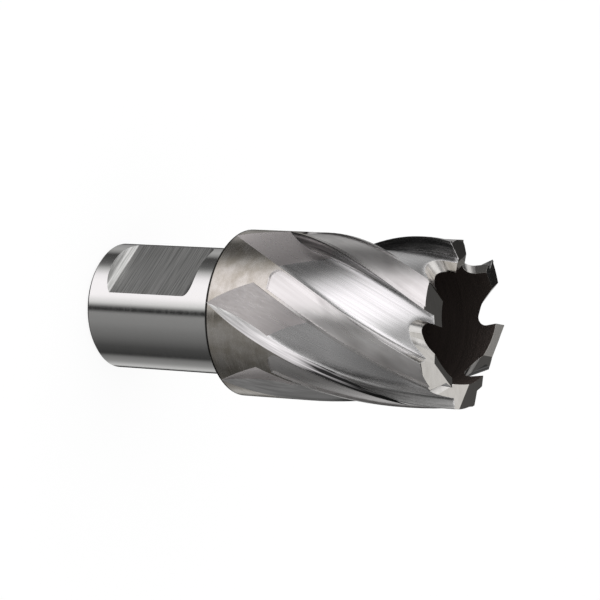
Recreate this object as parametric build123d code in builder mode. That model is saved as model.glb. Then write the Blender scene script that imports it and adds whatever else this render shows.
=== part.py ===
from build123d import *
import os
from math import atan, cos, dist, pi, radians, sin, sqrt, tan

# Annular cutter for a magnetic drill: one ground piece of high-speed steel.
# Origin at the centre of the shank's end face, +Z along the axis towards the teeth, millimetres.
# The shank's two driving flats face +X and +Y. Angles are seen from +Z, counter-clockwise, and the
# cutter turns that way, so a tooth's leading side is its counter-clockwise side.

# Shank
shank_diameter = 19.05
shank_length = 23.2
shank_chamfer = 0.5
pilot_diameter = 6.4            # through hole for the ejector pin
pilot_chamfer = 0.5
flat_depth = 1.585              # driving flat, measured in from the round
flat_start = 4.0                # flat's lower end, above the shank's end face
flat_length = 13.05
flat_corner_radius = 1.5        # rounded corner at the end next to the body
flat_lead_out = 1.14            # length of the sloping end next to the shank's end face
flat_lead_out_sag = 0.15        # hollow of that slope
flat_spacing = 90.0

# Body
body_diameter = 25.0
body_length = 37.9              # from the shoulder to the highest tooth tip
back_chamfer = 0.3
core_diameter = 17.3
core_depth = 33.0               # below the highest tooth tip
core_corner = 0.8

# Flutes, ground by a wheel that ends its cut tilted in the slot
tooth_count = 6
helix_lead = 144.0
flute_angle = 39.5              # width of a flute at the outside, as an angle at the axis
wall_lean = 1.1                 # each wall comes in by this angle down to the floor
flute_phase = 54.5              # centre-line of the first flute at the shoulder
web_thickness = 1.63            # steel left between the core and the flute's floor
floor_radius = 16.42            # hollow of the floor, seen along the axis
floor_shift = 0.757             # its centre lies this far to the trailing side
run_out_height = 11.23          # lowest point of the wheel at the end of its cut, above the shoulder
wheel_radius = 28.56
wheel_swivel = 44.53
wheel_tilt = 2.36
wheel_dip = 0.03                # the wheel ends this much deeper than the floor
crease_height = 1.32            # line where run-out and floor meet, above the wheel's lowest point
crease_lean = 17.8              # that line against the axis
flank_distance = 2.845          # wheel's side face, from the axis
flank_lean = 28.9
flank_swivel = 32.6

# Land relief behind the full-diameter strip along each cutting edge
margin_angle = 2.3
relief_depth = 0.25
relief_start = 10.17            # above the shoulder
relief_corner = 1.3             # rounded corner of its start, at the trailing edge of the land
relief_overlap = 0.3            # relief's cutter reaches this angle into the flute behind the land

# Gullets between the teeth, in a tooth's own frame: x outwards, y towards the leading side
gullet_lag = 12.65              # tooth's radial line behind the flute's centre-line, at the tips
rake_offset = 0.29              # rake face ahead of the radial line, at the core and the highest tip
rake_skew = 0.2
rake_tilt = 0.22
root_offset = 1.3               # point where the root meets the floor, at the core
root_drop = 3.47                # that point below the highest tip
root_fall = 0.65                # extra depth for each millimetre outwards
root_radius = 1.2               # at the core
root_growth = 0.15              # extra radius for each millimetre outwards
floor_rise = 0.2126             # slope of the floor away from the root
blend_radius = 3.0
heel_offset = 4.23              # back slope: a point on it at the core, and its two slopes
heel_drop = 2.09
heel_rise = 0.78
heel_fall = 0.44
gullet_inset = 2.2              # its near section lies this far inside the core's wall

# Teeth: every second one has a plain end face, the others a crest with a bevel on each side
plain_drop = 0.2                # below the highest tip, at the core
plain_slope = 0.189
plain_relief = 0.150
crest_radius = 10.33
outer_slope = 0.483
outer_relief = 0.373
inner_slope = 0.363
inner_relief = 0.144
crown_foot = 1.2                # each end face's cutter starts this far above the root
crown_lead = 8.0                # and reaches this angle ahead of the tooth's radial line

# Derived sizes
shank_radius = shank_diameter / 2
body_radius = body_diameter / 2
core_radius = core_diameter / 2
pilot_radius = pilot_diameter / 2
top = shank_length + body_length
core_floor = top - core_depth
twist_rate = 360 / helix_lead
half_flute = flute_angle / 2
flute_pitch = 360 / tooth_count
floor_distance = core_radius + web_thickness
run_out_z = shank_length + run_out_height
overrun = 1.5                   # cutting tools reach this far past the steel
blank_top = top + 0.5
outside = body_radius + overrun


def polar(radius, angle):
    return (radius * cos(radians(angle)), radius * sin(radians(angle)))


def centre_line(z):
    """Angle of the first flute's centre-line at height z."""
    return flute_phase + twist_rate * (z - shank_length)


def facing(distance, lean, swivel, z):
    """Plane at a distance from the axis, facing out and clockwise, in a flute's frame."""
    side = cos(radians(lean))
    normal = Vector(sin(radians(lean)), -side * cos(radians(swivel)), side * sin(radians(swivel)))
    return Plane(origin=normal * distance + Vector(0, 0, z), z_dir=normal)


# Blank: shank, shoulder and body, with the core and the ejector pin's hole
with BuildPart() as cutter_body:
    with BuildSketch(Plane.XZ):
        with BuildLine():
            Polyline(
                (0, 0),
                (shank_radius - shank_chamfer, 0),
                (shank_radius, shank_chamfer),
                (shank_radius, shank_length),
                (body_radius - back_chamfer, shank_length),
                (body_radius, shank_length + back_chamfer),
                (body_radius, blank_top),
                (0, blank_top),
                close=True,
            )
        make_face()
    revolve(axis=Axis.Z)
    with BuildSketch(Plane.XZ):
        with BuildLine():
            Polyline(
                (0, core_floor),
                (core_radius - core_corner, core_floor),
                (core_radius, core_floor + core_corner),
                (core_radius, blank_top + overrun),
                (0, blank_top + overrun),
                close=True,
            )
        make_face()
    revolve(axis=Axis.Z, mode=Mode.SUBTRACT)
    with BuildSketch(Plane.XZ):
        with BuildLine():
            Polyline(
                (0, -overrun),
                (pilot_radius + pilot_chamfer + overrun, -overrun),
                (pilot_radius, pilot_chamfer),
                (pilot_radius, core_floor + overrun),
                (0, core_floor + overrun),
                close=True,
            )
        make_face()
    revolve(axis=Axis.Z, mode=Mode.SUBTRACT)

# Driving flat facing +X, with a rounded end next to the body and a sloping one at the other end
flat_distance = shank_radius - flat_depth
flat_end = flat_start + flat_length
with BuildPart() as flat_cutter:
    with BuildSketch(Plane.XZ):
        with BuildLine():
            rounded = flat_corner_radius
            foot = (flat_distance, flat_start)
            lip = (flat_distance + flat_depth, flat_start - flat_lead_out)
            SagittaArc(lip, foot, flat_lead_out_sag)
            Line(foot, (flat_distance, flat_end))
            RadiusArc(
                (flat_distance, flat_end),
                (flat_distance + rounded, flat_end + rounded),
                rounded,
            )
            Polyline(
                (flat_distance + rounded, flat_end + rounded),
                (shank_radius + overrun, flat_end + rounded),
                (shank_radius + overrun, flat_start - flat_lead_out),
                lip,
            )
        make_face()
    extrude(amount=shank_radius, both=True)

# Slot with the flute's two walls, deeper than its floor. The flute's frame has x along its
# centre-line at the height where the wheel ends its cut.
slot_bottom = shank_length - overrun
slot_height = blank_top + overrun - slot_bottom
slot_plane = Plane.XY.offset(slot_bottom).rotated((0, 0, twist_rate * (slot_bottom - run_out_z)))
slot_inner = core_radius + 0.5 * web_thickness
lean_rate = wall_lean / (body_radius - floor_distance)


def wall_point(radius, side):
    return polar(radius, side * (half_flute + lean_rate * (radius - body_radius)))


with BuildPart() as slot_walls:
    with BuildLine() as wall_helix:
        Helix(helix_lead, slot_height, core_radius, center=(0, 0, slot_bottom))
    with BuildSketch(slot_plane):
        with BuildLine():
            Polyline(
                wall_point(slot_inner, -1),
                wall_point(outside, -1),
                wall_point(outside, 1),
                wall_point(slot_inner, 1),
                close=True,
            )
        make_face()
    sweep(path=wall_helix.wires()[0], is_frenet=True)

# Floor of the slot: a shallow hollow, wider than the walls, that starts at the wheel's crease
floor_reach = outside * sin(radians(half_flute))
floor_centre = sqrt(floor_radius**2 - floor_shift**2) - floor_distance


def floor_point(y):
    return (sqrt(floor_radius**2 - (y - floor_shift) ** 2) - floor_centre, y)


crease_along = Vector(0, cos(radians(crease_lean)), sin(radians(crease_lean)))
crease_normal = crease_along.rotate(Axis.Z, twist_rate * crease_height)
crease_point = Vector(*polar(floor_distance, twist_rate * crease_height), run_out_z + crease_height)
wheel_bite = sqrt(2 * wheel_radius * wheel_dip)
crease_plane = Plane(origin=crease_point - crease_normal * (0.8 * wheel_bite), z_dir=crease_normal)
with BuildPart() as slot_floor:
    with BuildLine() as floor_helix:
        Helix(helix_lead, slot_height, core_radius, center=(0, 0, slot_bottom))
    with BuildSketch(slot_plane):
        with BuildLine():
            ThreePointArc(floor_point(-floor_reach), floor_point(0), floor_point(floor_reach))
            Polyline(
                floor_point(floor_reach),
                (outside + overrun, floor_reach),
                (outside + overrun, -floor_reach),
                floor_point(-floor_reach),
            )
        make_face()
    sweep(path=floor_helix.wires()[0], is_frenet=True)
    split(bisect_by=crease_plane, keep=Keep.TOP)

# Wheel at the end of its cut
wheel_side = Vector(0, cos(radians(wheel_swivel)), -sin(radians(wheel_swivel)))
outward = Vector(1, 0, 0)
wheel_axis = wheel_side * cos(radians(wheel_tilt)) + outward * sin(radians(wheel_tilt))
wheel_out = outward * cos(radians(wheel_tilt)) - wheel_side * sin(radians(wheel_tilt))
wheel_low = Vector(floor_distance - wheel_dip, 0, run_out_z)
wheel_plane = Plane(origin=wheel_low + wheel_out * wheel_radius, z_dir=wheel_axis)
flank_plane = facing(flank_distance, flank_lean, flank_swivel, run_out_z)
with BuildPart() as flute_cutter:
    with BuildSketch(wheel_plane):
        Circle(wheel_radius)
    extrude(amount=body_radius, both=True)
    add(slot_floor.part)
    add(slot_walls.part, mode=Mode.INTERSECT)
    split(bisect_by=flank_plane, keep=Keep.TOP)

# Relief of one land, in the same frame, open to the flute behind it
relief_z = shank_length + relief_start
relief_height = blank_top + overrun - relief_z
relief_inner = body_radius - relief_depth
relief_lead = -half_flute - margin_angle
relief_trail = half_flute - flute_pitch - relief_overlap
relief_plane = Plane.XY.offset(relief_z).rotated((0, 0, twist_rate * (relief_z - run_out_z)))
with BuildPart() as relief_cutter:
    with BuildLine() as relief_helix:
        Helix(helix_lead, relief_height, core_radius, center=(0, 0, relief_z))
    with BuildSketch(relief_plane):
        with BuildLine():
            relief_middle = (relief_lead + relief_trail) / 2
            ThreePointArc(
                polar(relief_inner, relief_trail),
                polar(relief_inner, relief_middle),
                polar(relief_inner, relief_lead),
            )
            Polyline(
                polar(relief_inner, relief_lead),
                polar(outside, relief_lead),
                polar(outside, relief_trail),
                polar(relief_inner, relief_trail),
            )
        make_face()
    sweep(path=relief_helix.wires()[0], is_frenet=True)
    corner_turn = twist_rate * (relief_z - run_out_z) + relief_trail
    corner_spot = Vector(*polar((relief_inner + outside) / 2, corner_turn), relief_z)
    fillet(relief_cutter.edges().sort_by_distance(corner_spot)[0], relief_corner)

# Gullet in a tooth's frame, lofted between two sections square to its radial line
gullet_near = core_radius - gullet_inset
gullet_far = body_radius * cos(radians(half_flute))
gullet_ceiling = blank_top + 2 * overrun


def crossing(x1, z1, slope1, x2, z2, slope2):
    """Point where two lines meet, each given by a point and its run across for each rise."""
    z = (x2 - x1 + slope1 * z1 - slope2 * z2) / (slope1 - slope2)
    return (x1 + slope1 * (z - z1), z)


def gullet_section(x):
    """Rake face, root, floor and back slope at x, drawn with y across and z up."""
    out = x - core_radius
    rake = (rake_offset - rake_skew * out, top, rake_tilt)
    floor = (root_offset, top - root_drop - root_fall * out, 1 / floor_rise)
    heel = (heel_offset, top - heel_drop - heel_fall * out, 1 / heel_rise)
    ceiling = gullet_ceiling - top
    foot, knee = crossing(*rake, *floor), crossing(*floor, *heel)
    root = root_radius + root_growth * out
    root_tangent = root / tan((pi / 2 - atan(rake_tilt) - atan(floor_rise)) / 2)
    floor_left = dist(foot, knee) - root_tangent
    blend = min(blend_radius, 0.9 * floor_left / tan((atan(heel_rise) - atan(floor_rise)) / 2))
    with BuildSketch(Plane(origin=(x, 0, 0), x_dir=(0, 1, 0), z_dir=(1, 0, 0))) as section:
        with BuildLine():
            Polyline(
                foot,
                knee,
                (heel[0] + (gullet_ceiling - heel[1]) / heel_rise, gullet_ceiling),
                (rake[0] + rake_tilt * ceiling, gullet_ceiling),
                close=True,
            )
        make_face()
        corners = section.vertices().sort_by(Axis.Y)
        fillet(corners[0], root)
        fillet(section.vertices().filter_by(lambda v: abs(v.Y - knee[1]) < 0.01), blend)
    return section.sketch


with BuildPart() as gullet_cutter:
    loft([gullet_section(gullet_near).face(), gullet_section(gullet_far).face()], ruled=True)

# End faces of the teeth, each cut from a wedge that reaches into the gullet on either side
crown_low = top - root_drop + crown_foot
crown_plane = Plane.XY.offset(crown_low)
wedge_start = crown_lead - flute_pitch
plain_z = top - plain_drop
plain_plane = Plane(origin=(core_radius, 0, plain_z), z_dir=(plain_slope, -plain_relief, 1))
outer_plane = Plane(origin=(crest_radius, 0, top), z_dir=(outer_slope, -outer_relief, 1))
inner_plane = Plane(origin=(crest_radius, 0, top), z_dir=(-inner_slope, -inner_relief, 1))


def wedge():
    with BuildSketch(crown_plane) as sector:
        with BuildLine():
            Polyline(
                (0, 0),
                polar(1.3 * outside, wedge_start),
                polar(1.3 * outside, wedge_start + flute_pitch / 2),
                polar(1.3 * outside, wedge_start + flute_pitch),
                close=True,
            )
        make_face()
    return sector.sketch


with BuildPart() as plain_crown:
    extrude(wedge(), amount=gullet_ceiling - crown_low)
    split(bisect_by=plain_plane, keep=Keep.TOP)
with BuildPart() as outer_bevel:
    extrude(wedge(), amount=gullet_ceiling - crown_low)
    split(bisect_by=outer_plane, keep=Keep.TOP)
with BuildPart() as inner_bevel:
    extrude(wedge(), amount=gullet_ceiling - crown_low)
    split(bisect_by=inner_plane, keep=Keep.TOP)

# Cuts in the blank: flats, flutes, reliefs, gullets and end faces
flute_turn = centre_line(run_out_z)
tooth_turn = centre_line(top) - gullet_lag
with cutter_body:
    with PolarLocations(0, 2, angular_range=flat_spacing, endpoint=True):
        add(flat_cutter.part, mode=Mode.SUBTRACT)
    with PolarLocations(0, tooth_count, start_angle=flute_turn):
        add(flute_cutter.part, mode=Mode.SUBTRACT)
    with PolarLocations(0, tooth_count, start_angle=flute_turn):
        add(relief_cutter.part, mode=Mode.SUBTRACT)
    with PolarLocations(0, tooth_count, start_angle=tooth_turn):
        add(gullet_cutter.part, mode=Mode.SUBTRACT)
    with PolarLocations(0, tooth_count // 2, start_angle=tooth_turn):
        add(plain_crown.part, mode=Mode.SUBTRACT)
    with PolarLocations(0, tooth_count // 2, start_angle=tooth_turn + flute_pitch):
        add(outer_bevel.part, mode=Mode.SUBTRACT)
        add(inner_bevel.part, mode=Mode.SUBTRACT)

cutter_body.part.label = "cutter_body"
os.makedirs("parts", exist_ok=True)
export_step(cutter_body.part, "parts/cutter_body.step")
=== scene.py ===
# %% [markdown]
# # Annular cutter
# A hollow drill for steel plate, ground from one piece of high-speed steel. It stands on the end of its
# shank, with the teeth up. Its shape is finished in CAD, so this lesson is about what makes it look like
# steel: a separate finish for every way it was cut or ground, and a small studio for shiny metal.
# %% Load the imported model
import math

import bmesh
import bpy
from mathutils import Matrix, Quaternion, Vector


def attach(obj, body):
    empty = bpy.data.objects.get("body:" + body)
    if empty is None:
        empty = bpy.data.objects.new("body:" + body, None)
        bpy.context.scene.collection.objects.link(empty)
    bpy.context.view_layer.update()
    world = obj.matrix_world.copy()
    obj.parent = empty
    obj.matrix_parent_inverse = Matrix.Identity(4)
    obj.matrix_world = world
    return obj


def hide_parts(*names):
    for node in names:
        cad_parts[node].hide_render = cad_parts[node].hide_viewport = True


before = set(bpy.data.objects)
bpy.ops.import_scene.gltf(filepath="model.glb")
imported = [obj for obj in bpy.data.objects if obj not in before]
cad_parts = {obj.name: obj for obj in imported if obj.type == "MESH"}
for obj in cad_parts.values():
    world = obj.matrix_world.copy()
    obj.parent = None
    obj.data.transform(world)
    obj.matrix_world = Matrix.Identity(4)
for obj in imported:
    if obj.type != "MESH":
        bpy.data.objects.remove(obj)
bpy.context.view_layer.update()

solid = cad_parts["cutter_body"]

# %% [markdown]
# The main sizes are written again here in metres, because finishes and patterns follow them. A flute is a
# groove that winds up the body, and the steel left between two flutes is a land. Each land is ground back
# by a quarter of a millimetre behind its cutting edge, which is called its relief.
# %% Sizes that the finishes follow
mm = 0.001
shank_top = 23.2 * mm
shank_radius = 9.525 * mm
body_radius = 12.5 * mm
relief_radius = 12.25 * mm
core_radius = 8.65 * mm
helix_lead = 144 * mm
twist = 2 * math.pi / helix_lead
print("twist in degrees for each mm:", round(math.degrees(twist) * mm, 3))


# %% [markdown]
# ## The camera
# The cutter was photographed lying down, with a long lens, so the camera is rolled by about a quarter turn.
# A target on the part and one roll angle say this more plainly than a matrix would.
# %% Camera
def aim(thing, place, target, roll_degrees=0.0):
    """Stand a camera or a lamp at place, facing target, turned about its own line of sight."""
    line = Vector(target) - Vector(place)
    roll = Quaternion((0, 0, 1), math.radians(roll_degrees))
    thing.rotation_mode = "QUATERNION"
    thing.location = place
    thing.rotation_quaternion = line.to_track_quat("-Z", "Y") @ roll


scene = bpy.context.scene
camera = bpy.data.objects.new("camera", bpy.data.cameras.new("camera"))
scene.collection.objects.link(camera)
scene.camera = camera
camera.data.lens = 181.50
camera.data.sensor_width = 36
camera.data.clip_start, camera.data.clip_end = 0.01, 20
camera_place = (-0.271484, 0.274686, 0.263886)
camera_target = (0.002112, 0.001133, 0.031653)
aim(camera, camera_place, camera_target, roll_degrees=93.098)
print("camera distance in mm:", round(camera.location.length * 1000, 1))

# %% [markdown]
# ## One piece, several finishes
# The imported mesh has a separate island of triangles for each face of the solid. The faces could be cut apart
# into one object for each finish, but the real cutter is one piece of steel. So one copy keeps the shape,
# and each island in it gets the finish of the tool that made it.
# %% Names of the finishes, and islands
FINISHES = [
    "polished", "flat", "turned", "relief", "relief_step", "floor",
    "run_out", "wall", "flank", "gullet", "tooth_end", "bore",
]


def islands(bm):
    """Groups of faces that share corners."""
    seen = set()
    for first in bm.faces:
        if first in seen:
            continue
        group, queue = [], [first]
        seen.add(first)
        while queue:
            face = queue.pop()
            group.append(face)
            for vert in face.verts:
                for near in vert.link_faces:
                    if near not in seen:
                        seen.add(near)
                        queue.append(near)
        yield group


bm = bmesh.new()
bm.from_mesh(solid.data)
print("finishes:", len(FINISHES), "faces of the solid:", sum(1 for group in islands(bm)))
bm.free()


# %% [markdown]
# A face of the solid is known by where it lies and which way it looks: how far it is from the axis, how high
# it reaches, and how much it faces out or up. Picking faces by number would be shorter, but the numbers
# change whenever the solid is built again.
# %% Measures of a face
flat_enough = 0.9998
smallest = 1e-6


def measured(group):
    """Lowest and highest point, nearest and farthest from the axis, how much it faces out and up,
    and whether it is flat."""
    spots = [v.co for f in group for v in f.verts]
    away = [math.hypot(p.x, p.y) for p in spots]
    area = sum(f.calc_area() for f in group)
    middle = sum((f.normal * f.calc_area() for f in group), Vector()).normalized()
    plane = min(f.normal.dot(middle) for f in group) > flat_enough
    out = up = 0.0
    for f in group:
        c = f.calc_center_median()
        share = f.calc_area() / area
        out += share * (f.normal.x * c.x + f.normal.y * c.y) / max(math.hypot(c.x, c.y), smallest)
        up += share * f.normal.z
    return min(p.z for p in spots), max(p.z for p in spots), min(away), max(away), out, up, plane


print("a face counts as flat within", round(math.degrees(math.acos(flat_enough)), 1), "degrees")

# %% [markdown]
# With these measures the faces are told apart from the core outwards, and from the shank upwards. The limits
# lie between two kinds of face, so small changes to the cutter's sizes leave the sorting right.
# %% Which finish a face has
close = 0.1 * mm
flats_bottom, back_edge_top = 2 * mm, shank_top + 0.4 * mm
strip_inside, land_inside = body_radius - 0.02 * mm, relief_radius - 0.05 * mm
flank_bottom, run_out_bottom, run_out_top = 25 * mm, 30 * mm, 45 * mm
floor_top, teeth_bottom = 50 * mm, 52 * mm
half, uphill, mostly, nearly_all = 0.5, 0.6, 0.8, 0.9


def finish_of(group):
    """The tool that left a face, by where the face lies and where it looks."""
    low, high, near, far, out, up, plane = measured(group)
    if far < core_radius + close and out < half:
        return "bore"
    if high < shank_top - close:
        if up < -nearly_all:
            return "turned"
        return "flat" if low > flats_bottom else "polished"
    if high < back_edge_top:
        on_shank = near > shank_radius - close and far < shank_radius + close
        return "polished" if on_shank else "turned"
    if near > strip_inside:
        return "turned"
    if near > land_inside:
        return "relief_step" if up > uphill else "relief"
    if low > teeth_bottom and up > nearly_all:
        return "tooth_end"
    if low < run_out_bottom and high < run_out_top and out > mostly:
        return "run_out"
    if out > mostly and high > floor_top:
        return "floor"
    if plane and low < flank_bottom:
        return "flank"
    if low < run_out_top:
        return "wall"
    return "tooth_end" if plane else "gullet"


print("heights in mm that part the flutes' faces:", round(run_out_bottom / mm), round(run_out_top / mm))

# %% [markdown]
# Smooth shading averages the normals round a corner, which would smear every sharp edge. So the solid's own
# normals are kept in an attribute before the islands are merged, and a corner is sharp where they differ.
# %% Copy, sort and merge
merge_distance = 0.001 * mm

body = bpy.data.objects.new("cutter", solid.data.copy())
scene.collection.objects.link(body)
mesh = body.data
mesh.materials.clear()
kept = mesh.attributes.new("cad_normal", "FLOAT_VECTOR", "CORNER")
kept.data.foreach_set("vector", [x for c in mesh.corner_normals for x in c.vector])

bm = bmesh.new()
bm.from_mesh(mesh)
bm.normal_update()
count = {name: 0 for name in FINISHES}
for group in islands(bm):
    name = finish_of(group)
    count[name] += 1
    for face in group:
        face.material_index = FINISHES.index(name)
        face.smooth = True
bmesh.ops.remove_doubles(bm, verts=bm.verts, dist=merge_distance)
print("faces of the solid by finish:", count, "corners after the merge:", len(bm.verts))

# %% [markdown]
# Where the wheel begins to lift, the floor of a flute dips a little before its crease. That is too shallow to
# model, but it shows in the reflections, so the normals of the floor lean there. The step at the edge of the
# relief is only 0.25 mm high and has soft edges, so its normals point out like those of the land round it.
# %% Normals that show shallow forms
crease_top, dip_end, dip_lean = 37 * mm, 43.5 * mm, 0.12


def eased(value, start, end):
    """1 up to start and 0 beyond end, with a soft slope between them."""
    share = min(max((end - value) / (end - start), 0), 1)
    return share * share * (3 - 2 * share)


def shading_normal(name, place, normal):
    """The normal that the light meets at a corner of a face with this finish."""
    if name.startswith("relief"):
        out = Vector((place.x, place.y, 0)).normalized()
        return out if normal.dot(out) < nearly_all else normal
    if name == "floor":
        lean = dip_lean * eased(place.z, crease_top, dip_end)
        return (normal - Vector((0, 0, lean))).normalized()
    return normal


layer = bm.loops.layers.float_vector["cad_normal"]
changed = 0
for face in bm.faces:
    for loop in face.loops:
        before = loop[layer].copy()
        loop[layer] = shading_normal(FINISHES[face.material_index], loop.vert.co, before)
        changed += (loop[layer] - before).length > smallest
print("corners of triangles with a new normal:", changed)

# %% [markdown]
# An edge between two normals that differ by more than a few degrees is marked sharp, and all others smooth.
# Blender could mark them by the angle of the triangles, but where the triangles of a curve are coarse, that
# would break the curve up.
# %% Sharp edges
sharpest = math.cos(math.radians(6))

for edge in bm.edges:
    if len(edge.link_loops) == 2:
        a, b = edge.link_loops
        edge.smooth = a[layer].dot(b.link_loop_next[layer]) > sharpest
print("sharp edges:", sum(1 for edge in bm.edges if not edge.smooth), "of", len(bm.edges))
bm.to_mesh(mesh)
bm.free()

# %% [markdown]
# The merged mesh gets the kept normals, and then stands in for the plain solid, which is hidden. It rides on
# the only body that there is, because nothing on a cutter moves.
# %% Put the finished piece in the solid's place
flat_list = [0.0] * (3 * len(mesh.loops))
mesh.attributes["cad_normal"].data.foreach_get("vector", flat_list)
mesh.normals_split_custom_set([flat_list[i:i + 3] for i in range(0, len(flat_list), 3)])
mesh.attributes.remove(mesh.attributes["cad_normal"])
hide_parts("cutter_body")
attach(body, "root")
print("finished piece:", body.name, "triangles:", len(mesh.polygons))


# %% [markdown]
# ## Finishes
# Every finish is bare steel, so what tells them apart is the tool's marks. A material is a chain of nodes,
# and one short helper adds a node, sets it and links it, so that each chain reads in the order it works in.
# %% A node, and a steel to put it in
def node(tree, kind, *values, **named):
    """A new node. Values feed its inputs, in order or by a name with a capital. Other names are settings."""
    made = tree.nodes.new("ShaderNode" + kind)
    fed = list(enumerate(values))
    for key, value in named.items():
        if key[0].islower():
            setattr(made, key, value)
        else:
            fed.append((key.replace("_", " "), value))
    for key, value in fed:
        if isinstance(value, bpy.types.NodeSocket):
            tree.links.new(value, made.inputs[key])
        else:
            made.inputs[key].default_value = value
    return made


def steel(name, colour, roughness):
    """A bare steel, in the next free slot of the cutter."""
    material = bpy.data.materials.new(name)
    material.use_nodes = True
    material.diffuse_color = (*colour, 1)
    mesh.materials.append(material)
    shader = material.node_tree.nodes["Principled BSDF"]
    shader.inputs["Metallic"].default_value = 1.0
    shader.inputs["Base Color"].default_value = (*colour, 1)
    shader.inputs["Roughness"].default_value = roughness
    print("finish", len(mesh.materials), "is the", name)
    return material.node_tree, shader


# %% [markdown]
# A mark of a tool is a long thin scratch. Scratches could be cut into the mesh one by one, but a noise
# pattern that is squeezed across the scratch and stretched along it draws thousands at once. Along the flutes
# the pattern is first turned back by the helix, so that the scratches wind with them.
# %% Scratches
def on_steel(tree, untwisted=False):
    """Object coordinates. Untwisted, they are turned back by the helix, so that every flute is straight."""
    place = node(tree, "TexCoord").outputs["Object"]
    if not untwisted:
        return place
    height = node(tree, "SeparateXYZ", place).outputs["Z"]
    angle = node(tree, "Math", height, -twist, operation="MULTIPLY").outputs[0]
    return node(tree, "VectorRotate", rotation_type="Z_AXIS", Vector=place, Angle=angle).outputs[0]


def scratches(tree, place, squeeze, detail):
    """Noise with its own number of cells for each metre along x, y and z."""
    squeezed = node(tree, "Mapping", Vector=place, Scale=squeeze).outputs[0]
    return node(tree, "TexNoise", Vector=squeezed, Scale=1.0, Detail=detail, Roughness=0.6).outputs["Fac"]


def spread(tree, value, low, high, start=0.3, end=0.7):
    """Brings the part of a pattern between start and end to the range from low to high."""
    ranged = node(tree, "MapRange", Value=value, From_Min=start, From_Max=end, To_Min=low, To_Max=high)
    return ranged.outputs[0]


print("a pattern of 5000 cells for each metre has lines of", 1000 / 5000, "mm")

# %% [markdown]
# No real edge is quite sharp: each has a tiny round that catches the light. A Bevel modifier would add
# thousands of triangles for it, so a Bevel node rounds only the shading, under a Bump node for the scratches.
# %% Rounded edges and fine relief
edge_radius = 0.05 * mm


def bump(tree, shader, value, height, radius=edge_radius):
    """Fine relief on normals that are rounded off within the radius of an edge, or left alone for 0."""
    made = node(tree, "Bump", Strength=1.0, Distance=height, Height=value)
    if radius > 0:
        rounded = node(tree, "Bevel", samples=8, Radius=radius)
        tree.links.new(rounded.outputs[0], made.inputs["Normal"])
    tree.links.new(made.outputs[0], shader.inputs["Normal"])


print("edges are rounded within mm:", round(edge_radius / mm, 3))

# %% [markdown]
# The shank is ground round and polished, so it shows the studio almost like a mirror. A low roughness alone
# would look like chrome, so faint rings and a little haze break it.
# %% Polished shank
tree, shader = steel("polished shank", colour=(0.81, 0.805, 0.79), roughness=0.12)
rings = scratches(tree, on_steel(tree), squeeze=(40, 40, 5200), detail=2)
tree.links.new(spread(tree, rings, low=0.07, high=0.15), shader.inputs["Roughness"])
bump(tree, shader, rings, height=0.0004 * mm)


# %% [markdown]
# The driving flats, which the machine's set screws press on, are surface ground across the shank. Their
# scratches run square to the axis and are coarse enough to see, so they change the steel's tone as well.
# %% Ground flats
def mixed(tree, share, first, second):
    """The first colour where the share is 0, the second where it is 1."""
    return node(tree, "Mix", data_type="RGBA", Factor=share, A=first, B=second).outputs["Result"]


def tone(tree, shader, value, dark, light):
    """Steel between two tones, by the pattern."""
    tree.links.new(mixed(tree, value, (*dark, 1), (*light, 1)), shader.inputs["Base Color"])


tree, shader = steel("ground flat", colour=(0.78, 0.775, 0.75), roughness=0.2)
lines = scratches(tree, on_steel(tree), squeeze=(110, 110, 4600), detail=5)
clear_lines = spread(tree, lines, low=0, high=1, start=0.38, end=0.62)
tone(tree, shader, clear_lines, dark=(0.52, 0.52, 0.505), light=(1.0, 0.995, 0.98))
tree.links.new(spread(tree, lines, low=0.36, high=0.28), shader.inputs["Roughness"])
bump(tree, shader, lines, height=0.0008 * mm)


# %% [markdown]
# The back of the body is left as it was turned, with faint rings from the lathe and a mottled brown cast from
# hardening. Below a height just above its back edge the steel is tinted nearly black. The strips along the
# cutting edges are part of the same round, but ground, so the brown fades out above the flutes' ends. A tint
# that depends on the height does both, and no seam shows, as it would between two materials.
# %% Turned body
def rise(tree, start, end):
    """0 at the height start and 1 at the height end, with a soft slope between them."""
    height = node(tree, "SeparateXYZ", on_steel(tree)).outputs["Z"]
    step = node(tree, "MapRange", interpolation_type="SMOOTHSTEP", Value=height, From_Min=start, From_Max=end)
    return step.outputs[0]


def tint(tree, shader, share, colour):
    """Takes the steel's colour over to another one, by the share."""
    before = shader.inputs["Base Color"].links[0].from_socket
    tree.links.new(mixed(tree, share, before, (*colour, 1)), shader.inputs["Base Color"])


tree, shader = steel("turned body", colour=(0.60, 0.55, 0.50), roughness=0.28)
rings = scratches(tree, on_steel(tree), squeeze=(240, 240, 3600), detail=5)
mottle = scratches(tree, on_steel(tree), squeeze=(420, 420, 420), detail=4)
clouds = spread(tree, mottle, low=0, high=1, start=0.36, end=0.64)
tone(tree, shader, clouds, dark=(0.50, 0.46, 0.40), light=(0.69, 0.655, 0.61))
tint(tree, shader, rise(tree, start=34 * mm, end=38 * mm), colour=(0.70, 0.68, 0.67))
# Nearly black below 23.7 mm: the body's back face and edge, and the end of the shank.
tint(tree, shader, rise(tree, start=23.80 * mm, end=23.70 * mm), colour=(0.03, 0.028, 0.025))
tree.links.new(spread(tree, rings, low=0.30, high=0.19), shader.inputs["Roughness"])
bump(tree, shader, rings, height=0.0008 * mm)


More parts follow.
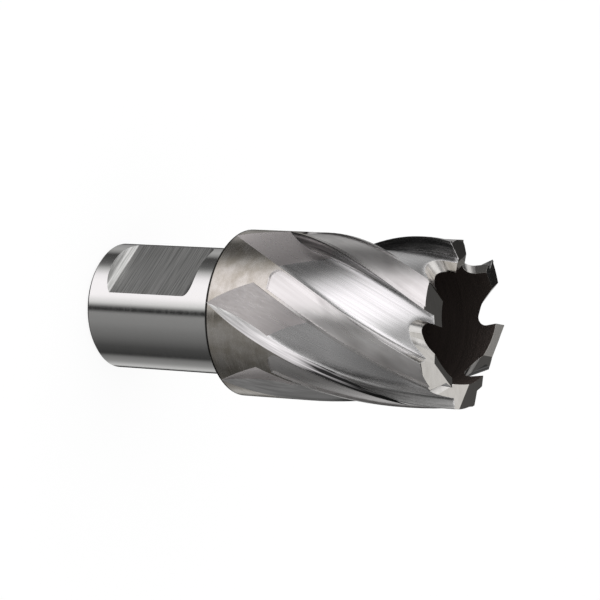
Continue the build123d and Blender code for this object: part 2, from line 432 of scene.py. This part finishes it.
# %% [markdown]
# The fluted part is ground along its flutes. Each finish could be a chain of its own, but one helper makes
# all that follow, because they differ only in tone, in haze, and in how coarse and deep their lines are.
#
# The relieved lands have very fine lines, and a smoky cast in places. The low wall where the relief begins
# has less haze than they have, because its normals lean so far from its real surface that haze would lose
# light in the steel and draw a dark outline.
# %% Lands
def ground(name, dark, light, haze, squeeze, depth, untwisted=True, radius=edge_radius):
    """Steel with lines from grinding that change its tone, its haze and, by their depth, its normals."""
    least, most = haze
    tree, shader = steel(name, light, most)
    lines = scratches(tree, on_steel(tree, untwisted), squeeze, detail=2.5)
    tone(tree, shader, spread(tree, lines, low=0, high=1), dark, light)
    tree.links.new(spread(tree, lines, low=most, high=least), shader.inputs["Roughness"])
    bump(tree, shader, lines, depth, radius)
    return tree, shader, lines


tree, shader, lines = ground(
    "relieved land", dark=(0.80, 0.775, 0.765), light=(0.88, 0.86, 0.85),
    haze=(0.26, 0.34), squeeze=(1800, 1800, 60), depth=0.0006 * mm
)
smoke = scratches(tree, on_steel(tree, untwisted=True), squeeze=(210, 210, 120), detail=2)
wisps = spread(tree, smoke, low=0, high=0.55, start=0.52, end=0.70)
tint(tree, shader, wisps, colour=(0.42, 0.40, 0.39))
ground(
    "step of the land", dark=(0.64, 0.62, 0.61), light=(0.70, 0.68, 0.67),
    haze=(0.05, 0.09), squeeze=(1800, 1800, 60), depth=0.0002 * mm, radius=0
)

# %% [markdown]
# A flute has a bright floor, two darker walls, and a run-out, where the wheel was lifted out of the steel.
# The wheel's corner is round, so the feet of the walls are too. Rounded feet in the mesh would double its
# triangles, so a Bevel node with a wide radius rounds them in the shading of floor and wall.
# %% Flutes
foot_radius = 1.0 * mm

ground(
    "flute floor", dark=(0.81, 0.80, 0.80), light=(0.98, 0.97, 0.975),
    haze=(0.21, 0.31), squeeze=(2700, 2700, 36), depth=0.0022 * mm, radius=foot_radius
)
ground(
    "flute run-out", dark=(0.84, 0.785, 0.78), light=(0.97, 0.915, 0.91),
    haze=(0.26, 0.33), squeeze=(2600, 2600, 50), depth=0.0014 * mm
)
tree, shader, lines = ground(
    "flute wall", dark=(0.38, 0.375, 0.37), light=(0.96, 0.95, 0.94),
    haze=(0.16, 0.26), squeeze=(1500, 1500, 50), depth=0.004 * mm, radius=0.35 * foot_radius
)
deep_lines = spread(tree, lines, low=0.85, high=0.0, start=0.36, end=0.60)
tint(tree, shader, deep_lines, colour=(0.12, 0.12, 0.12))

# %% [markdown]
# The flank is where the wheel's side ran out. It is flat in CAD, but the real one bulges outwards a little,
# and its reflections show that. Here nodes lean the normals outwards, more the farther the place is from
# the axis. The flank starts bright; its upper end has dark lines painted in, a painted dark reflection.
# %% Flank
bulge_out, bulge_down, flank_height = 0.50, -0.10, 35 * mm
lean = (bulge_out / body_radius, bulge_out / body_radius, bulge_down / flank_height)

tree, shader, lines = ground(
    "flank", dark=(0.46, 0.455, 0.45), light=(0.84, 0.83, 0.825),
    haze=(0.08, 0.15), squeeze=(2200, 2200, 40), depth=0.0012 * mm, radius=0
)
plain = node(tree, "NewGeometry").outputs["Normal"]
outwards = node(tree, "VectorMath", on_steel(tree), lean, operation="MULTIPLY").outputs[0]
leaning = node(tree, "VectorMath", plain, outwards, operation="ADD").outputs[0]
unit = node(tree, "VectorMath", leaning, operation="NORMALIZE").outputs[0]
tree.links.new(unit, shader.inputs["Normal"].links[0].from_node.inputs["Normal"])
# Painted dark reflection: towards the flank's upper end its colour goes nearly black in lines, for the dark
# band it reflects there.
upper_end = rise(tree, start=37 * mm, end=43 * mm)
dark_lines = spread(tree, lines, low=2.2, high=0.3)
painted_dark_reflection = node(tree, "Math", upper_end, dark_lines, operation="MULTIPLY", use_clamp=True)
tint(tree, shader, painted_dark_reflection.outputs[0], colour=(0.035, 0.035, 0.035))

# %% [markdown]
# The gullets are the hollows between the teeth, and a smooth wheel cuts them last. They curve every way, so
# their pattern is the same in every direction. The teeth are pointed on a grinder of their own. Their ends
# have far less haze, and their pattern is drawn out one way, as the lines of that grinder are.
# %% Gullets and teeth
ground(
    "gullet", dark=(0.86, 0.835, 0.81), light=(0.97, 0.945, 0.92),
    haze=(0.26, 0.36), squeeze=(900, 900, 900), depth=0.001 * mm
)
ground(
    "tooth end", dark=(0.64, 0.615, 0.58), light=(0.74, 0.715, 0.68),
    haze=(0.10, 0.16), squeeze=(1800, 300, 900), depth=0.001 * mm
)

# %% [markdown]
# The core is the deep blind hole that the slug of plate stands in. It is bored before hardening and never
# ground, so it is rough, and its steel is given a dark colour. Plain black would do for its depth, but its
# mouth catches light, so it is a dark steel with much haze and with rings round the axis.
# %% Bore
ground(
    "bore", dark=(0.19, 0.155, 0.14), light=(0.29, 0.245, 0.225),
    haze=(0.45, 0.60), squeeze=(60, 60, 2600), depth=0.003 * mm, untwisted=False
)


# %% [markdown]
# ## A studio for shiny metal
# Polished steel has hardly any colour of its own: it shows what stands round it. So a photographer hangs it
# in a tent of white, grey and black paper. A few flat cards could do, but they leave black gaps from other
# sides. So this tent is a large ball, painted by direction, and only reflections see it.
# %% Papers side by side
def paper(level):
    """The colour of a paper: grey, or white with a faint rosy cast."""
    green = 0.975 if level >= 1 else 1.0
    return (level, level * green, level, 1)


def round_ramp(tree, direction, levels):
    """Grey levels by direction from the cutter, in degrees, with soft steps between them."""
    ramp = node(tree, "ValToRGB", direction)
    stops = sorted(((angle / 360 + 0.5) % 1.0, level) for angle, level in levels)
    seam = (stops[0][1] + stops[-1][1]) / 2
    elements = ramp.color_ramp.elements
    elements[0].position, elements[1].position = 0, 1
    elements[0].color = elements[1].color = (seam, seam, seam, 1)
    for position, level in stops:
        elements.new(position).color = paper(level)
    return ramp.outputs["Color"]


print("a white paper:", paper(1.0), "a grey one:", paper(0.5))

# %% [markdown]
# The papers hang in five rows, and each stop is a direction in degrees with its level of grey. The lowest
# row is nearly black. The shank and the lands look down past the shank's end, so the low row makes their
# bands: white on one side, a narrow black strip beside it, then grey that darkens. The middle row shows where
# a flute runs out, and it lights the back. The level row shows in the flanks and in the outer sides of the
# teeth, and the high row in the teeth's ends.
# %% Levels of the papers
lowest_row = [
    (42, 0.01), (75, 0.03), (125, 0.05), (150, 0.18), (183, 0.36), (215, 0.16), (254, 0.04), (300, 0.03),
]
low_row = [
    (-66, 0.02), (-30, 0.02), (-20, 0.30), (6, 0.42), (17, 0.28), (26, 0.06), (38, 0.08), (50, 0.12),
    (57, 0.23), (64, 0.50), (78, 1.00), (90, 1.12), (118, 1.12), (131, 0.74), (139, 0.07), (144, 0.01),
    (150, 0.27), (168, 0.24), (195, 0.15), (216, 0.07), (237, 0.04), (246, 0.20), (262, 0.30),
    (276, 0.52), (284, 0.60),
]
middle_row = [
    (-64, 0.42), (-40, 0.50), (-20, 0.32), (-8, 0.34), (8, 0.40), (26, 0.34), (40, 0.19), (60, 0.19),
    (76, 0.60), (88, 1.20), (116, 1.20), (127, 0.90), (137, 0.50), (143, 0.40), (157, 0.54), (185, 0.38),
    (215, 0.30), (249, 0.20), (275, 0.34),
]
level_row = [
    (-64, 0.008), (-36, 0.008), (-24, 0.02), (-8, 0.02), (20, 0.05), (44, 0.10), (60, 0.16),
    (76, 0.60), (88, 1.20), (116, 1.20), (127, 0.60), (140, 0.40), (157, 0.50), (185, 0.24),
    (215, 0.14), (249, 0.10), (275, 0.10),
]
high_row = [
    (-100, 0.085), (-76, 0.30), (-72, 0.28), (-62, 0.08), (-32, 0.085), (-20, 0.04), (10, 0.10),
    (60, 0.15), (110, 0.14), (180, 0.17), (235, 0.10),
]
rows_above = [
    (low_row, -0.78, -0.68), (middle_row, -0.45, -0.36), (level_row, -0.14, -0.04), (high_row, 0.06, 0.26),
]
print("rows of papers:", 1 + len(rows_above), "stops in the low row:", len(low_row))


# %% [markdown]
# The rows are laid over each other from the lowest up. A place on the ball gives its direction, and the
# height in it is the sine of the angle above the level. A row begins to show at the first height beside it in
# the list, and has taken over at the second.
# %% Paint of the tent
def layer_over(tree, below, above, height, start, end):
    """Above takes over from below as height goes from start to end."""
    step = node(tree, "MapRange", interpolation_type="SMOOTHSTEP", Value=height, From_Min=start, From_Max=end)
    return mixed(tree, step.outputs[0], below, above)


papers = bpy.data.materials.new("tent papers")
papers.use_nodes = True
papers.cycles.emission_sampling = "NONE"
tree = papers.node_tree
tree.nodes.clear()
place = node(tree, "TexCoord").outputs["Object"]
around = node(tree, "TexGradient", place, gradient_type="RADIAL").outputs["Fac"]
unit = node(tree, "VectorMath", place, operation="NORMALIZE").outputs[0]
height = node(tree, "SeparateXYZ", unit).outputs["Z"]
whole = round_ramp(tree, around, lowest_row)
for row, start, end in rows_above:
    whole = layer_over(tree, whole, round_ramp(tree, around, row), height, start, end)
glow = node(tree, "Emission", Color=whole).outputs[0]
node(tree, "OutputMaterial", Surface=glow)
print("nodes in the paint of the tent:", len(tree.nodes))


# %% [markdown]
# The ball stands round the middle of the cutter, with its faces turned inwards. The camera, soft light and
# shadows pass it by, so it can't darken the scene, and only the steel shows it.
# %% Tent
def studio_piece(name, bm, material):
    """Makes a finished bmesh an object of the studio, which isn't part of the cutter."""
    data = bpy.data.meshes.new(name)
    bm.to_mesh(data)
    bm.free()
    made = bpy.data.objects.new(name, data)
    scene.collection.objects.link(made)
    data.materials.append(material)
    print("studio piece:", name, "faces:", len(data.polygons))
    return made


tent_radius, tent_middle = 1.5, (0, 0, 0.03)

bm = bmesh.new()
bmesh.ops.create_uvsphere(bm, u_segments=64, v_segments=32, radius=tent_radius)
bmesh.ops.reverse_faces(bm, faces=bm.faces)
bmesh.ops.translate(bm, verts=bm.verts, vec=tent_middle)
tent = studio_piece("tent", bm, papers)
tent.visible_camera = tent.visible_diffuse = tent.visible_shadow = False
tent.visible_transmission = tent.visible_volume_scatter = False


# %% [markdown]
# Two soft lamps shine inside the tent: a large one overhead, and a wide one low at the side. An area lamp is
# given in watts, which say little about how bright it looks, so the helper works them out from its size.
# %% Lamps
lamp_target = (0, 0, 0.04)


def direction_from(azimuth, elevation):
    """The way from the cutter to a place, by two angles in degrees."""
    a, e = math.radians(azimuth), math.radians(elevation)
    return Vector((math.cos(a) * math.cos(e), math.sin(a) * math.cos(e), math.sin(e)))


def soft_lamp(name, azimuth, elevation, width, height, brightness, distance=0.5):
    """A rectangular lamp. Its brightness is what a mirror would show, where 1 is white."""
    data = bpy.data.lights.new(name, "AREA")
    data.shape = "RECTANGLE"
    data.size, data.size_y = width, height
    data.energy = brightness * math.pi * width * height
    lamp = bpy.data.objects.new(name, data)
    scene.collection.objects.link(lamp)
    aim(lamp, direction_from(azimuth, elevation) * distance, lamp_target)
    print(name, "in watts:", round(data.energy, 2))


soft_lamp("overhead lamp", azimuth=128, elevation=72, width=0.82, height=0.82, brightness=0.62)
soft_lamp("side lamp", azimuth=42, elevation=24, width=0.72, height=0.44, brightness=0.64)


# %% [markdown]
# The floor is white to the camera, and it still keeps a faint shadow of the cutter. More light could whiten
# it, but would wash out the steel. So the floor glows where the ray that meets it looks straight at it, and
# is plain pale paint to the soft light that spreads.
# %% Paint of the floor
def seen_straight(tree):
    """1 for rays from the camera, for reflections and for rays through glass, 0 for all others."""
    path = node(tree, "LightPath")
    either = path.outputs["Is Camera Ray"]
    for kind in ("Is Glossy Ray", "Is Transmission Ray"):
        either = node(tree, "Math", either, path.outputs[kind], operation="MAXIMUM").outputs[0]
    return either


glow_strength, glow_share = 1.015, 0.88

paint = bpy.data.materials.new("white floor")
paint.use_nodes = True
paint.cycles.emission_sampling = "NONE"
tree = paint.node_tree
shader = tree.nodes["Principled BSDF"]
shader.inputs["Base Color"].default_value = (0.9, 0.9, 0.9, 1)
shader.inputs["Roughness"].default_value = 0.9
shader.inputs["Specular IOR Level"].default_value = 0.0
white = node(tree, "Emission", Strength=glow_strength).outputs[0]
share = node(tree, "Math", seen_straight(tree), glow_share, operation="MULTIPLY").outputs[0]
both = node(tree, "MixShader", share, shader.outputs[0], white).outputs[0]
tree.links.new(both, tree.nodes["Material Output"].inputs["Surface"])
print("share of the floor's paint that glows:", glow_share)

# %% [markdown]
# The floor lies a tenth of a millimetre below the shank's end, so that the two faces never share a place. It
# is a flat grid, far larger than the view. The steel doesn't reflect it, because the lowest row of papers
# stands for it there.
# %% Floor
floor_reach, floor_height = 3, -0.1 * mm

bm = bmesh.new()
bmesh.ops.create_grid(bm, x_segments=2, y_segments=2, size=floor_reach)
bmesh.ops.translate(bm, verts=bm.verts, vec=(0, 0, floor_height))
floor = studio_piece("floor", bm, paint)
floor.visible_glossy = floor.visible_shadow = False

# %% [markdown]
# The world behind the floor is white in the same way, and a little less bright as soft light. Standard is the
# view transform that shows a colour as it is written.
# %% World
soft_level, white_level = 0.75, 1.0

world = bpy.data.worlds.new("studio")
scene.world = world
world.use_nodes = True
tree = world.node_tree
level = node(tree, "MapRange", Value=seen_straight(tree), To_Min=soft_level, To_Max=white_level)
background = tree.nodes["Background"]
background.inputs["Color"].default_value = (1, 1, 1, 1)
tree.links.new(level.outputs[0], background.inputs["Strength"])
scene.view_settings.view_transform = "Standard"
print("world:", world.name, "view transform:", scene.view_settings.view_transform)
